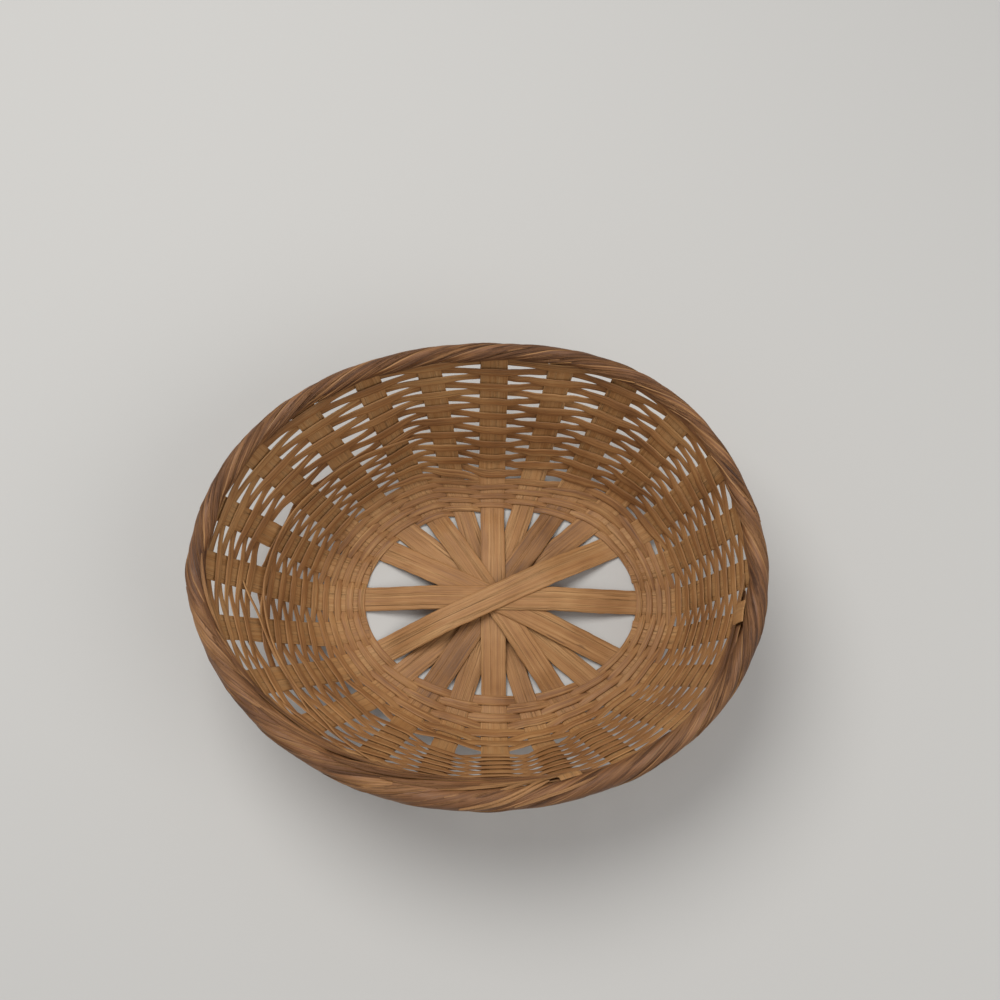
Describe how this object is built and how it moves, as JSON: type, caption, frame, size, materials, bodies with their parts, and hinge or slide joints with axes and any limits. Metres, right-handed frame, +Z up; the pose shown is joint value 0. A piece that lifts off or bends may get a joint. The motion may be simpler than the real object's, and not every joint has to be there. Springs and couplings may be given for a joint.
{
  "type": "berry basket",
  "caption": "Low oval woven splint basket with an open bowl, crossed base splints, thin woven strips and a twisted rope rim, for holding berries or other small fruit.",
  "frame": {"origin": "under the middle of the overall box, on the plane that the basket stands on", "axes": "+Z up out of the mouth, X along the long axis of the oval, +Y across it, toward the top of the picture; the base lies nearer to the +X end"},
  "size_m": [0.2758, 0.2288, 0.088],
  "materials": {
    "base_splint": "light tan split wood with lengthwise fibres, satin",
    "short_stake": "light tan split wood with lengthwise fibres, satin",
    "ring_strip": "tan thin split strip, satin",
    "wall_strip": "brown tan thin split strip, satin",
    "rim_core": "plain bundle of splint ends under the rope",
    "rim_strand": "reddish brown split wood, fibrous, satin"
  },
  "bodies": {
    "root": {"base_splint_01": "base_splint", "base_splint_02": "base_splint", "base_splint_03": "base_splint", "base_splint_04": "base_splint", "base_splint_05": "base_splint", "base_splint_06": "base_splint", "base_splint_07": "base_splint", "base_splint_08": "base_splint", "base_splint_09": "base_splint", "base_splint_10": "base_splint", "short_stake_01": "short_stake", "short_stake_02": "short_stake", "short_stake_03": "short_stake", "short_stake_04": "short_stake", "ring_strip_01": "ring_strip", "ring_strip_02": "ring_strip", "ring_strip_03": "ring_strip", "ring_strip_04": "ring_strip", "wall_strip_01": "wall_strip", "wall_strip_02": "wall_strip", "wall_strip_03": "wall_strip", "wall_strip_04": "wall_strip", "wall_strip_05": "wall_strip", "wall_strip_06": "wall_strip", "rim_core": "rim_core", "rim_strand_01": "rim_strand", "rim_strand_02": "rim_strand", "rim_strand_03": "rim_strand", "rim_strand_04": "rim_strand", "rim_strand_05": "rim_strand", "rim_strand_06": "rim_strand", "rim_strand_07": "rim_strand", "rim_strand_08": "rim_strand", "rim_strand_09": "rim_strand", "rim_strand_10": "rim_strand", "rim_strand_11": "rim_strand", "rim_strand_12": "rim_strand", "rim_strand_13": "rim_strand", "rim_strand_14": "rim_strand", "rim_strand_15": "rim_strand", "rim_strand_16": "rim_strand", "rim_strand_17": "rim_strand", "rim_strand_18": "rim_strand", "rim_strand_19": "rim_strand", "rim_strand_20": "rim_strand", "rim_strand_21": "rim_strand", "rim_strand_22": "rim_strand", "rim_strand_23": "rim_strand", "rim_strand_24": "rim_strand"}
  },
  "joints": []
}
